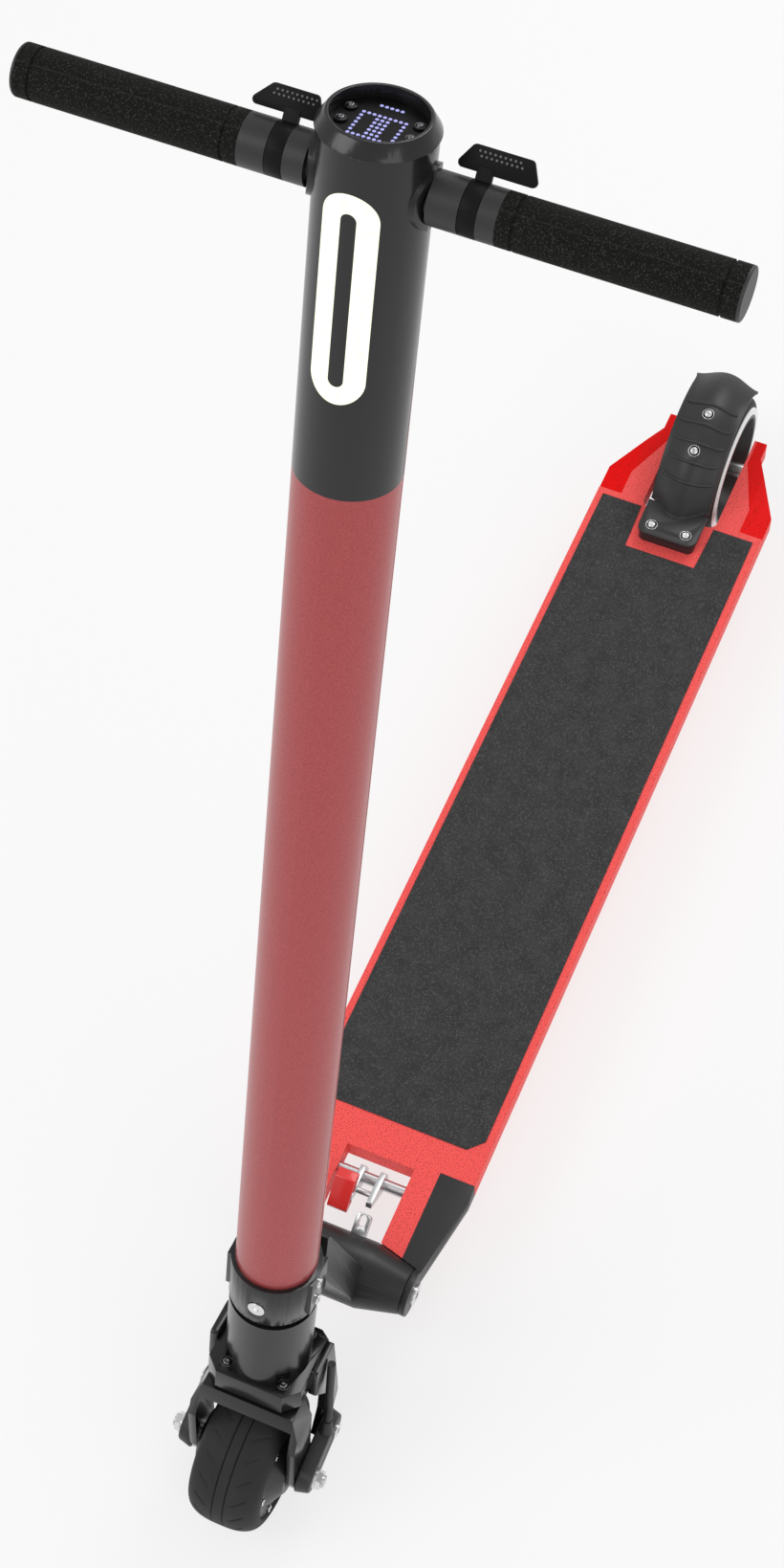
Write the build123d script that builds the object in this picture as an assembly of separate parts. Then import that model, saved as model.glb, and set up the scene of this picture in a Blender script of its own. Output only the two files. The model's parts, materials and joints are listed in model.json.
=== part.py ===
from build123d import *
import os
from math import atan2, cos, degrees, hypot, radians, sin, sqrt

# Electric kick scooter, unfolded and upright. Millimetres.
# +X points forwards, +Y to the rider's left, +Z up. The origin is on the ground,
# under the middle of the overall length, in the mid-plane.

# ---------------------------------------------------------------- driving sizes
wheelbase = 1025.0
front_tyre_r = 60.0
rear_tyre_r = 70.0
front_tyre_half = 29.5         # half the width of the front tyre
rear_tyre_half = 27.0
rake_deg = 14.65               # steering axis, leaning back from the vertical
fork_offset = 22.0             # front axle ahead of the steering axis
running_gap = 0.05             # radial clearance of a shaft in its bush
part_gap = 0.3                 # clearance between neighbours that don't touch
move_gap = 0.8                 # clearance beside parts that move past each other

# heights along the steering axis, from the point level with the front axle
crown_top_s = 108.0
collar_low_s = 188.0
tube_low_s = 229.5
head_low_s = 959.0
bar_s = 1137.0
cap_low_s = 1165.0
cap_top_s = 1173.5

tube_r = 30.0
tube_wall = 2.5
lower_tube_r = 32.5
collar_r = 33.0
collar_bore_r = 26.0
steerer_r = 18.0
steerer_wall = 3.0
cap_r = 31.0
cap_rim_r = 26.2

bar_r = 11.0
bar_wall = 2.0
grip_r = 13.9
grip_reach = 189.5             # mid-plane to the outer end of a grip
sleeve_inner_y = tube_r + 2.0
grip_inner_y = sleeve_inner_y + 35.5
plug_length = 1.6
paddle_ring_w = 9.0
paddle_tilt_deg = 47.0         # paddle, up and back from the horizontal
paddle_height = 12.5
paddle_thickness = 2.2
# ring middle, foot from and to, top from and to: distances from the mid-plane
brake_paddle_ys = [sleeve_inner_y + y for y in (21.0, 4.5, 48.5, 12.5, 43.0)]
throttle_paddle_ys = [sleeve_inner_y + y for y in (16.0, -0.2, 41.0, 4.5, 28.5)]

light_low_s = 1020.5
light_high_s = 1145.0
light_half_width = 15.0
light_slot = 4.2
light_depth = 1.6

hub_setback = 162.0            # folding hinge behind the front axle
hub_z = 70.0
hub_r = 27.5
hub_barrel_y = 28.0
hub_end_r = 19.0
hub_end_y = 63.0
hub_bore_r = 8.0
hinge_bolt_r = 5.0
ear_thickness = 5.0
arm_half_width = 27.0

deck_top = 80.0                # height of the deck's upper face
deck_thickness = 20.0
deck_half_width = 80.0
window_setback = 94.0          # rear edge of the front window, behind the hinge
window_half_width = 29.5
shaft_setback = 76.0           # lock shaft behind the hinge
shaft_r = 5.0
cover_setback = 99.5           # front arm covers, rear edge behind the hinge
cover_inner_y = 50.0
cover_straight = 14.0

rear_axle_r = 4.0
rear_nut_r = 7.0
slot_clearance = 10.0          # rear tyre to the front end of its slot
slot_half_width = 36.0
wing_ahead = 47.0              # where the deck starts to narrow, ahead of the rear axle
arm_tip_behind = 31.0
arm_tip_y = 48.0
wing_drop = 3.0                # fall of the side slopes

tape_setback = 126.0           # front of the grip tape, behind the hinge
tape_length = 656.0
tape_half_width = 73.5
tape_thickness = 0.8
notch_depth = 47.5
notch_half_width = 33.5

fender_half_width = 28.0
fender_wall = 2.6
fender_gap = 9.5               # rear tyre to the fender's side edges
fender_low_angle = 13.0        # fender ends, about the rear axle, from the level line ahead
fender_high_angle = 121.5
fender_base_length = 38.0
fender_block_height = 12.0

# ---------------------------------------------------------------- derived sizes
rake = radians(rake_deg)
front_axle_x = (wheelbase + rear_tyre_r - front_tyre_r) / 2
rear_axle_x = front_axle_x - wheelbase
front_z = front_tyre_r
rear_z = rear_tyre_r
foot_x = front_axle_x - fork_offset / cos(rake)
hub_x = front_axle_x - hub_setback
deck_low = deck_top - deck_thickness
window_rear_x = hub_x - window_setback
shaft_x = hub_x - shaft_setback
cover_rear_x = hub_x - cover_setback
slot_front_x = rear_axle_x + rear_tyre_r + slot_clearance
wing_x = rear_axle_x + wing_ahead
arm_tip_x = rear_axle_x - arm_tip_behind
tape_front_x = hub_x - tape_setback
tape_rear_x = tape_front_x - tape_length

stem = Plane(origin=(foot_x, 0, front_z), x_dir=(cos(rake), 0, sin(rake)), z_dir=(-sin(rake), 0, cos(rake)))
bodies = {}


def on_stem(s, forward=0.0, left=0.0):
    """Place in the steering frame: s up the axis, then forwards and to the left."""
    return stem.location * Pos(forward, left, s)


def stem_xz(forward, s):
    """X and Z of a mid-plane point given in the steering frame."""
    return (foot_x + forward * cos(rake) - s * sin(rake), front_z + forward * sin(rake) + s * cos(rake))


def up_stem(radius, s0, s1, forward=0.0, left=0.0):
    """Cylinder along the steering axis, from s0 to s1."""
    return on_stem((s0 + s1) / 2, forward, left) * Cylinder(radius, s1 - s0)


def pipe_up_stem(outer, inner, s0, s1):
    """Pipe along the steering axis."""
    return up_stem(outer, s0, s1) - up_stem(inner, s0 - 1, s1 + 1)


def along_y(radius, y0, y1, x, z):
    """Cylinder along Y from y0 to y1."""
    return Pos(x, (y0 + y1) / 2, z) * Rot(90, 0, 0) * Cylinder(radius, y1 - y0)


def ring_along_y(outer, inner, y0, y1, x, z):
    """Ring along Y from y0 to y1."""
    return along_y(outer, y0, y1, x, z) - along_y(inner, y0 - 1, y1 + 1, x, z)


def prism_y(outline, y0, y1, corner=0.0):
    """Outline in X and Z, drawn out from y0 to y1, with its corners rounded."""
    face = Plane.XZ.offset(-y1) * make_face(Polyline(*outline, close=True))
    if corner:
        face = fillet(face.vertices(), corner)
    return extrude(face, y1 - y0)


def prism_z(outline, z0, z1, corner=0.0):
    """Outline in X and Y, drawn out from z0 to z1, with its corners rounded."""
    face = Plane.XY.offset(z0) * make_face(Polyline(*outline, close=True))
    if corner:
        face = fillet(face.vertices(), corner)
    return extrude(face, z1 - z0)


def turned_y(profile, x, z):
    """Solid of revolution about a Y axis through x, z: profile holds radius and Y."""
    face = make_face(Polyline(*[(r, y, 0) for r, y in profile], close=True))
    return Pos(x, 0, z) * revolve(face, Axis.Y)


def both_sides(shape):
    """The shape and its mirror image across the mid-plane."""
    return [shape, mirror(shape, about=Plane.XZ)]


def two_sided(outline):
    """Close a half outline, given for Y at or above 0, across the mid-plane."""
    return outline + [(x, -y) for x, y in reversed(outline)]


def mirrored_profile(profile):
    """Close a half section, given from its lowest Y up to the middle."""
    return profile + [(r, -y) for r, y in reversed(profile)]


def socket_screw(head_r, head_h, shank_r, shank_l, socket_share=0.45):
    """Screw with its head above the origin, shank down, and a hexagon socket."""
    head = Pos(0, 0, head_h / 2) * Cylinder(head_r, head_h)
    head = fillet(head.edges().group_by(Axis.Z)[-1], head_h * 0.3)
    shank = Pos(0, 0, -shank_l / 2) * Cylinder(shank_r, shank_l)
    socket = Pos(0, 0, head_h * 0.45) * extrude(RegularPolygon(head_r * socket_share, 6), head_h)
    return head + shank - socket


def hex_nut(radius, y0, y1, x, z):
    """Hexagonal prism along Y."""
    return Pos(x, y0, z) * Rot(-90, 0, 0) * extrude(RegularPolygon(radius, 6), y1 - y0)


def keep(body, node, *shapes):
    """Write one node and note the body that it belongs to."""
    solids = [s for shape in shapes for s in (shape.solids() if hasattr(shape, "solids") else shape)]
    whole = solids[0] if len(solids) == 1 else Compound(children=solids)
    whole.label = node
    os.makedirs("parts", exist_ok=True)
    export_step(whole, f"parts/{node}.step")
    bodies.setdefault(body, []).append(node)


def hub_profile(grow=0.0):
    """Half section of the hinge barrel, grown all round by grow."""
    end = hub_end_y + grow
    return [(0, -end), (hub_end_r + grow, -end), (hub_r + grow, -hub_barrel_y), (hub_r + grow, hub_barrel_y),
            (hub_end_r + grow, end), (0, end)]


# ---------------------------------------------------------------- deck
hub_room = turned_y(hub_profile(move_gap), hub_x, hub_z)
arm_front_x = hub_x - 12.0
deck_plan = [(window_rear_x, window_half_width), (arm_front_x, window_half_width), (arm_front_x, cover_inner_y),
             (cover_rear_x, cover_inner_y), (cover_rear_x, deck_half_width), (wing_x, deck_half_width),
             (arm_tip_x + 18, arm_tip_y), (arm_tip_x, arm_tip_y), (arm_tip_x, slot_half_width),
             (slot_front_x, slot_half_width)]
deck = prism_z(two_sided(deck_plan), deck_low, deck_top)
slot_corners = deck.edges().filter_by(Axis.Z).filter_by(lambda e: abs(e.center().X - slot_front_x) < 1)
deck = fillet(slot_corners, 8)

# side slopes behind the tape, falling outwards
slope_front_x = tape_rear_x - 7.0
slope_inner_y = 58.0
slope_edge = [(slope_front_x, slope_inner_y), (wing_x, slope_inner_y), (rear_axle_x + 21, 49.0),
              (rear_axle_x - 3, 38.5), (arm_tip_x, slot_half_width + 0.5)]
slope_out_y = deck_half_width + 5
slope_zone = prism_z(slope_edge + [(arm_tip_x, slope_out_y), (slope_front_x, slope_out_y)], deck_top - 10, deck_top + 5)
fall = degrees(atan2(wing_drop, deck_half_width - slope_inner_y))
facet = Pos(wing_x, slope_inner_y, deck_top) * Rot(-fall, 0, 0) * Pos(0, 60, 10) * Box(400, 120, 20)
for cutter in both_sides(slope_zone & facet):
    deck -= cutter

deck -= hub_room
deck -= along_y(shaft_r + running_gap, -cover_inner_y, cover_inner_y, shaft_x, hub_z)
deck -= along_y(rear_axle_r + running_gap, -deck_half_width, deck_half_width, rear_axle_x, rear_z)
nut_seat_y = arm_tip_y - 3.0
for nut_room in both_sides(along_y(rear_nut_r + 2, nut_seat_y, deck_half_width, rear_axle_x, rear_z)):
    deck -= nut_room

# electronics pocket in the underside, closed by the belly cover
pocket_setback = 225.5
pocket_length = 290.0
pocket_half_width = 52.0
pocket_roof = 4.0
belly_thickness = 2.0
belly_lip = 9.0
pocket_mid_x = hub_x - pocket_setback - pocket_length / 2
pocket_top = deck_top - pocket_roof
cover_wid = 2 * (pocket_half_width + belly_lip)
cover_len = pocket_length + 2 * belly_lip
deck -= Pos(pocket_mid_x, 0, (deck_low + pocket_top) / 2) * Box(pocket_length, 2 * pocket_half_width,
                                                                 pocket_top - deck_low)
deck -= Pos(pocket_mid_x, 0, deck_low + belly_thickness / 2) * Box(cover_len, cover_wid, belly_thickness)

belly_screw_r = 1.5
belly_screw_l = 9.0
belly_head_r = 3.0
belly_head_h = 1.5
belly_screw_reach = (pocket_length + belly_lip) / 2
belly_screw_y = pocket_half_width + belly_lip / 2
belly = Pos(pocket_mid_x, 0, deck_low + belly_thickness / 2)
belly = belly * Box(cover_len - 2 * part_gap, cover_wid - 2 * part_gap, belly_thickness)
belly_screws = []
for x in (pocket_mid_x - belly_screw_reach, pocket_mid_x, pocket_mid_x + belly_screw_reach):
    for y in (-belly_screw_y, belly_screw_y):
        hole = Pos(x, y, deck_low + belly_screw_l / 2) * Cylinder(belly_screw_r, belly_screw_l)
        sink = Pos(x, y, deck_low + belly_head_h / 2) * Cylinder(belly_head_r, belly_head_h)
        socket = Pos(x, y, deck_low) * extrude(RegularPolygon(belly_screw_r * 0.8, 6), belly_head_h)
        deck -= hole
        belly -= hole
        belly -= sink
        belly_screws.append(hole + sink - socket)

fender_base_front_x = slot_front_x + fender_base_length
base_screw_x = fender_base_front_x - 11.0
base_screw_y = 16.5
base_screw_r = 2.5
base_screw_depth = 10.0        # of the screws in the deck
for y in (-base_screw_y, base_screw_y):
    deck -= Pos(base_screw_x, y, deck_top - base_screw_depth / 2) * Cylinder(base_screw_r, base_screw_depth)

edge_break = 1.2
top_edges = deck.edges().filter_by(lambda e: abs(e.center().Z - deck_top) < 0.01
                                   and abs(abs(e.center().Y) - deck_half_width) < 0.01)
deck = chamfer(top_edges, edge_break)
keep("deck", "deck_shell", deck)
keep("deck", "belly_cover", belly)
keep("deck", "belly_screws", *belly_screws)

controller_size = (150.0, 70.0)
controller_height = pocket_top - deck_low - belly_thickness
fin_count = 7
fin_pitch = controller_size[0] / fin_count
controller = Pos(pocket_mid_x, 0, pocket_top - controller_height / 2) * Box(*controller_size, controller_height)
controller = fillet(controller.edges().filter_by(Axis.Z), 3)
for n in range(1, fin_count):
    groove_x = pocket_mid_x - controller_size[0] / 2 + fin_pitch * n
    controller -= Pos(groove_x, 0, pocket_top) * Box(fin_pitch / 2, controller_size[1] - 10, 8)
keep("deck", "motor_controller", controller)

tape_corner = 12.0
tape_plan = [(tape_front_x, tape_half_width - tape_corner), (tape_front_x - tape_corner, tape_half_width),
             (tape_rear_x, tape_half_width), (tape_rear_x, notch_half_width + 2),
             (tape_rear_x + notch_depth, notch_half_width)]
keep("deck", "grip_tape", prism_z(two_sided(tape_plan), deck_top, deck_top + tape_thickness))

# ---------------------------------------------------------------- front arm covers and hinge ears
ear_inner_y = hub_end_y + part_gap
ear_outer_y = ear_inner_y + ear_thickness
cover_front_x = hub_x - 14.0
fit_gap = 0.02                 # a cover against the deck arm that carries it
ear_plan = [(cover_rear_x + fit_gap, cover_inner_y + fit_gap), (cover_rear_x + fit_gap, deck_half_width),
            (cover_rear_x + cover_straight, deck_half_width), (cover_front_x, ear_outer_y),
            (cover_front_x, cover_inner_y + fit_gap)]
cover = prism_z(ear_plan, deck_low, deck_top)
cover -= hub_room
ear_slope = 1.8
ear = along_y(hub_end_r, ear_inner_y, ear_outer_y, hub_x, hub_z)
ear += prism_y([(cover_front_x - 2, deck_low), (cover_front_x - 2, deck_top),
                (hub_x - 8, hub_z + hub_end_r - ear_slope), (hub_x, hub_z + hub_end_r),
                (hub_x, hub_z - hub_end_r), (hub_x - 8, hub_z - hub_end_r + ear_slope)], ear_inner_y, ear_outer_y)
shaft_end_y = cover_inner_y + 12.0
cover += ear
cover -= along_y(hinge_bolt_r, 0, ear_outer_y + 1, hub_x, hub_z)
cover -= along_y(shaft_r + running_gap, 0, shaft_end_y, shaft_x, hub_z)
keep("deck", "arm_cover_left", cover)
keep("deck", "arm_cover_right", mirror(cover, about=Plane.XZ))
keep("deck", "lock_shaft", along_y(shaft_r, part_gap - shaft_end_y, shaft_end_y - part_gap, shaft_x, hub_z))

bolt_inner_y = 12.0
hinge_bolt = Pos(hub_x, ear_outer_y, hub_z) * Rot(-90, 0, 0)
hinge_bolt = hinge_bolt * socket_screw(8.5, 3.2, hinge_bolt_r, ear_outer_y - bolt_inner_y)
keep("deck", "hinge_bolts", *both_sides(hinge_bolt))

# ---------------------------------------------------------------- fold neck
# the arm rises from the hinge barrel to the back of the collar
collar_back = -collar_r + 3.0
arm_outline = [(hub_x + hub_r - 0.5, hub_z), (hub_x + hub_r - 0.5, hub_z + 14), stem_xz(collar_back, collar_low_s),
               stem_xz(collar_back, tube_low_s - 2), stem_xz(collar_back - 4, tube_low_s - 4),
               (hub_x + 4, hub_z + hub_r - 0.5), (hub_x, hub_z)]
collar_room = up_stem(collar_r, collar_low_s - 5, tube_low_s + 5)
arm = prism_y(arm_outline, -arm_half_width, arm_half_width) - collar_room
hub = turned_y(hub_profile(), hub_x, hub_z) + arm
hub -= along_y(hub_bore_r, -hub_end_y - 1, hub_end_y + 1, hub_x, hub_z)
rim_edges = hub.edges().filter_by(GeomType.CIRCLE)
rim_edges = rim_edges.filter_by(lambda e: abs(abs(e.center().Y) - hub_end_y) < 0.1 and e.radius > hub_bore_r + 2)
hub = fillet(rim_edges, 1.5)
for y in (-15.0, 2.0, 15.0):
    hub -= Pos(hub_x + 20, y, hub_z + 22) * Rot(0, 48, 0) * Box(10, 7, 20)
keep("neck", "hub_housing", hub)

bush_l = 18.0
bush = ring_along_y(hub_bore_r, hinge_bolt_r + running_gap, hub_end_y - bush_l, hub_end_y, hub_x, hub_z)
keep("neck", "hub_bushes", *both_sides(bush))

# catch plate on the back of the barrel, that the latch hooks stand behind
catch_angle = 30.0
catch_y = (4.5, 17.5)
catch_reach = 45.0             # from the hinge axis to the plate's free end
catch_plate = Box(catch_reach - hub_r + 2, catch_y[1] - catch_y[0], 3.0)
catch_plate = fillet(catch_plate.edges().filter_by(Axis.Z), 3)
catch_plate -= Pos(-4, 0, 0) * extrude(SlotOverall(10, 5.5), 6, both=True)
catch_mid = (catch_reach + hub_r - 2) / 2
catch_plate = Pos(hub_x, sum(catch_y) / 2, hub_z) * Rot(0, catch_angle, 0) * Pos(-catch_mid, 0, 0) * catch_plate
keep("neck", "catch_plate", catch_plate - turned_y(hub_profile(), hub_x, hub_z))

# collar: ring clamp around the headset, with a flat clamp block on each side
block_front, block_back = 12.0, -16.0
block_y = 33.5
clamp_forward = 2.0
clamp_spots = (collar_low_s + 10.0, collar_low_s + 31.0)
collar_top_s = tube_low_s - part_gap
collar = up_stem(collar_r, collar_low_s, collar_top_s)
collar += (on_stem((collar_low_s + collar_top_s) / 2, (block_front + block_back) / 2)
           * Box(block_front - block_back, 2 * block_y, collar_top_s - collar_low_s - 5))
collar -= up_stem(collar_bore_r, collar_low_s - 1, tube_low_s + 1)
collar -= arm
cup_s = collar_low_s + 17.0
cup_seat = on_stem(cup_s, collar_r - 1.2) * Rot(0, 90, 0)
cup_r = 6.5
collar -= cup_seat * Pos(0, 0, 3) * Cylinder(cup_r + part_gap, 6)
collar -= cup_seat * Cylinder(2.0, 2 * (collar_r - collar_bore_r))
clamp_depth = 6.0
for s in clamp_spots:
    collar -= on_stem(s, clamp_forward, block_y - clamp_depth / 2) * Rot(90, 0, 0) * Cylinder(2.0, clamp_depth)
keep("neck", "collar", collar)

collar_screws = [cup_seat * socket_screw(cup_r, 2.2, 2.0, 5.0, 0.4)]
for s in clamp_spots:
    collar_screws.append(on_stem(s, clamp_forward, block_y) * Rot(-90, 0, 0) * socket_screw(4.0, 2.4, 2.0, clamp_depth))
keep("neck", "collar_screws", *collar_screws)

bearing_h = 9.0
bearing_inset = 3.0
headset = []
for s0 in (collar_low_s + bearing_inset, collar_top_s - bearing_inset - bearing_h):
    headset.append(pipe_up_stem(collar_bore_r, steerer_r + running_gap, s0, s0 + bearing_h))
keep("neck", "headset_bearings", *headset)

# ---------------------------------------------------------------- latch, carried on the lock shaft
link_t = 5.0
link_reach = 27.0
link_ys = (-12.0, 5.5)
link_outline = [(shaft_x - 9, hub_z - 2), (shaft_x - 6, hub_z + 9), (shaft_x + 4, hub_z + 12),
                (shaft_x + link_reach - 3, hub_z + 14), (shaft_x + link_reach, hub_z + 9),
                (shaft_x + 17, hub_z + 2), (shaft_x + 4, hub_z - 8), (shaft_x - 6, hub_z - 8)]
links = prism_y(link_outline, link_ys[0], link_ys[0] + link_t, 1.5)
links += prism_y(link_outline, link_ys[1], link_ys[1] + link_t, 1.5)
links += along_y(2.5, link_ys[0] + 1, link_ys[1] + 1, shaft_x + 15, hub_z + 7)
links -= along_y(shaft_r + running_gap, link_ys[0] - 1, link_ys[1] + link_t + 1, shaft_x, hub_z)
keep("latch", "latch_links", links)

# release pedal: a loop that stands on the left link and rises backwards
pedal_ys = (-24.0, -7.0)
pedal_outline = [(shaft_x + 36, hub_z + 4), (shaft_x + 36, hub_z + 9), (shaft_x + 17, hub_z + 27),
                 (shaft_x + 8, hub_z + 26), (shaft_x + 8, hub_z + 21), (shaft_x + 26, hub_z + 5)]
pedal_window = [(shaft_x + 33, hub_z + 8), (shaft_x + 16, hub_z + 24), (shaft_x + 11.5, hub_z + 22.5),
                (shaft_x + 28, hub_z + 7.5)]
pedal = prism_y(pedal_outline, *pedal_ys, 2.0)
pedal -= prism_y(pedal_window, pedal_ys[0] - 1, pedal_ys[1] + 1, 0.8)
pedal -= prism_y(link_outline, link_ys[0], link_ys[0] + link_t, 1.5)
keep("latch", "release_pedal", pedal.solids().sort_by(SortBy.VOLUME)[-1])

# ---------------------------------------------------------------- steering column
seal_low_s = collar_low_s - 6.5
steerer = up_stem(lower_tube_r, crown_top_s, seal_low_s)
steerer += up_stem(lower_tube_r - 3.5, seal_low_s, collar_low_s - part_gap)
steerer += up_stem(steerer_r, seal_low_s, tube_low_s + 40)
steerer -= up_stem(steerer_r - steerer_wall, crown_top_s - 1, tube_low_s + 41)
crown_bolt_f, crown_bolt_l = 24.5, 23.2
crown_bolt_head_r = 4.6
crown_bolt_spots = [(f, lat) for f in (-crown_bolt_f, crown_bolt_f) for lat in (-crown_bolt_l, crown_bolt_l)]
for f, lat in crown_bolt_spots:
    steerer -= up_stem(crown_bolt_head_r + 1.4, crown_top_s - 1, crown_top_s + 14, f, lat)
keep("steering", "lower_tube", steerer)

tube_floor = 6.0
tube = up_stem(tube_r, tube_low_s, head_low_s) - up_stem(tube_r - tube_wall, tube_low_s + tube_floor, head_low_s + 1)
tube -= up_stem(steerer_r, tube_low_s - 1, tube_low_s + tube_floor + 1)
keep("steering", "stem_tube", tube)

cell_r = 9.2
cell_l = 65.0
cell_pitch = cell_l + 1.0
cells_per_layer = 3
layer_count = 7
cell_ring = 2 * cell_r / sqrt(3) + part_gap
pack_low_s = tube_low_s + 60.0
cells = []
for layer in range(layer_count):
    for n in range(cells_per_layer):
        angle = radians(360 / cells_per_layer * n + 90)
        s0 = pack_low_s + layer * cell_pitch
        cells.append(up_stem(cell_r, s0, s0 + cell_l, cell_ring * cos(angle), cell_ring * sin(angle)))
keep("steering", "battery_cells", *cells)

plate_t = 5.0
pack_top_s = pack_low_s + layer_count * cell_pitch
holders = []
for s0 in (pack_low_s - plate_t, pack_top_s - (cell_pitch - cell_l)):
    holders.append(pipe_up_stem(tube_r - tube_wall, 6.0, s0, s0 + plate_t))
keep("steering", "battery_end_plates", *holders)

# head: a sleeve of the tube's own radius, with two bosses for the bar
boss_r = grip_r + 3.0
head_bore_r = tube_r - tube_wall
head = up_stem(tube_r, head_low_s, cap_low_s)
head += (on_stem(bar_s) * Rot(90, 0, 0) * Cylinder(boss_r, 2 * sleeve_inner_y)
         & up_stem(sleeve_inner_y + 0.5, bar_s - boss_r - 5, cap_low_s))
head -= up_stem(head_bore_r, head_low_s - 1, bar_s - boss_r - 4)
head -= on_stem(bar_s) * Rot(90, 0, 0) * Cylinder(bar_r, 4 * sleeve_inner_y)
cap_wall = 1.8
cap_inner_r = cap_rim_r - cap_wall
panel_low_s = bar_s + bar_r + 3.0
head -= up_stem(cap_inner_r, panel_low_s, cap_low_s + 1)
light_len = light_high_s - light_low_s


def front_racetrack(half_width, length):
    """Racetrack prism through the head's front face, standing along the steering axis."""
    sketch = SlotOverall(length, 2 * half_width, rotation=90)
    block = extrude(Plane(origin=(0, 0, 0), x_dir=(0, 1, 0), z_dir=(1, 0, 0)) * sketch, 2 * tube_r)
    return on_stem((light_low_s + light_high_s) / 2) * block


light_zone = front_racetrack(light_half_width, light_len)
light_core = front_racetrack(light_slot, light_len - 2 * (light_half_width - light_slot))
light_skin = pipe_up_stem(tube_r, tube_r - light_depth, light_low_s - 5, min(light_high_s + 5, cap_low_s))
keep("steering", "headlight_ring", (light_skin & light_zone) - light_core)
keep("steering", "head_housing", head - (light_skin & (light_zone - light_core)))

cap_height = cap_top_s - cap_low_s
panel_depth = 7.0
cap_profile = [(cap_inner_r, 0), (tube_r, 0), (cap_r, 0.6), (cap_r, 1.2),
               (cap_rim_r + 0.5, cap_height - 0.6), (cap_rim_r, cap_height), (cap_inner_r, cap_height)]
cap_face = make_face(Polyline(*[(r, 0, z) for r, z in cap_profile], close=True))
keep("steering", "cap_ring", on_stem(cap_low_s) * revolve(cap_face, Axis.Z))

panel_top_s = cap_top_s - panel_depth
panel = up_stem(cap_inner_r, panel_low_s, panel_top_s)
cap_screw_r = 2.3
cap_boss_h = 1.0
cap_screws = []
for f, lat in ((-8.2, -18.0), (-8.2, 18.0), (3.8, -18.0), (3.8, 18.0)):
    panel += up_stem(cap_screw_r + 1.1, panel_top_s - 1, panel_top_s + cap_boss_h, f, lat)
    panel -= up_stem(1.2, panel_top_s + cap_boss_h - 5, panel_top_s + cap_boss_h, f, lat)
    cap_screws.append(on_stem(panel_top_s + cap_boss_h, f, lat) * socket_screw(cap_screw_r, 1.3, 1.2, 5.0))
keep("steering", "display_panel", panel)
keep("steering", "cap_screws", *cap_screws)

# ---------------------------------------------------------------- handlebar
bar_x, bar_z = stem_xz(0, bar_s)


def on_bar(outer, inner, y0, y1):
    """Ring on the handlebar, on the left."""
    return ring_along_y(outer, inner, y0, y1, bar_x, bar_z)


keep("steering", "handlebar", on_bar(bar_r, bar_r - bar_wall, -grip_reach, grip_reach))

spring_w = 7.0
coil_r = 0.6
coil_count = 4
coil_pitch = (spring_w - 2 * coil_r) / (coil_count - 1) - 0.1


def sleeves(ring_y):
    """The two sleeves beside one paddle's ring, and the coils of its return spring."""
    ring_half = paddle_ring_w / 2 + part_gap
    spring_y0 = ring_y + ring_half + 0.6
    inner_sleeve = on_bar(grip_r, bar_r, sleeve_inner_y, ring_y - ring_half)
    outer_sleeve = on_bar(grip_r, bar_r, ring_y + ring_half, grip_inner_y)
    outer_sleeve -= on_bar(bar_r + 2 * coil_r + 0.8, bar_r - 1, spring_y0, spring_y0 + spring_w)
    spring = []
    for n in range(coil_count):
        y = spring_y0 + coil_r + 0.1 + n * coil_pitch
        spring.append(Pos(bar_x, y, bar_z) * Rot(90, 0, 0) * Torus(bar_r + coil_r + 0.25, coil_r))
    return [inner_sleeve, outer_sleeve], spring


brake_sleeves, brake_spring = sleeves(brake_paddle_ys[0])
throttle_sleeves, throttle_spring = sleeves(throttle_paddle_ys[0])
keep("steering", "bar_sleeves", *brake_sleeves, *[mirror(s, about=Plane.XZ) for s in throttle_sleeves])
keep("steering", "lever_springs", *brake_spring, *[mirror(s, about=Plane.XZ) for s in throttle_spring])

grip_ring_inset = 8.5
grip_ring_depth = 0.7
grip = on_bar(grip_r, bar_r, grip_inner_y, grip_reach)
for y in (grip_inner_y + grip_ring_inset, grip_reach - grip_ring_inset):
    grip -= on_bar(grip_r + 1, grip_r - grip_ring_depth, y - 0.8, y + 0.8)
keep("steering", "grips", *both_sides(grip))

plug = along_y(grip_r, grip_reach, grip_reach + plug_length, bar_x, bar_z)
plug = fillet(plug.edges().group_by(Axis.Y)[-1], plug_length * 0.7)
plug += along_y(bar_r - bar_wall, grip_reach - 14, grip_reach, bar_x, bar_z)
keep("steering", "bar_end_plugs", *both_sides(plug))


def thumb_paddle(ys):
    """Ring on the bar, neck and flat trapezoid plate, on the left side."""
    ring_y, foot_0, foot_1, top_0, top_1 = ys
    foot_r = grip_r + 3.5
    outline = [(foot_0, foot_r), (foot_1, foot_r), (top_1, foot_r + paddle_height), (top_0, foot_r + paddle_height)]
    face = make_face(Polyline(*[(0, y, z) for y, z in outline], close=True))
    face = fillet(face.vertices(), 2.5)
    blade = extrude(face, paddle_thickness / 2, both=True, dir=(1, 0, 0))
    neck_low, neck_high = bar_r + 1, foot_r + 3
    neck = Pos(0, ring_y, (neck_low + neck_high) / 2) * Box(paddle_thickness + 0.8, 8.2, neck_high - neck_low)
    paddle = on_bar(grip_r, bar_r, ring_y - paddle_ring_w / 2, ring_y + paddle_ring_w / 2)
    paddle += Pos(bar_x, 0, bar_z) * Rot(0, paddle_tilt_deg - 90, 0) * (blade + neck)
    return paddle - along_y(bar_r + running_gap, 0, grip_reach, bar_x, bar_z)


keep("brake_lever", "brake_paddle", thumb_paddle(brake_paddle_ys))
keep("throttle_lever", "throttle_paddle", mirror(thumb_paddle(throttle_paddle_ys), about=Plane.XZ))

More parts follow.
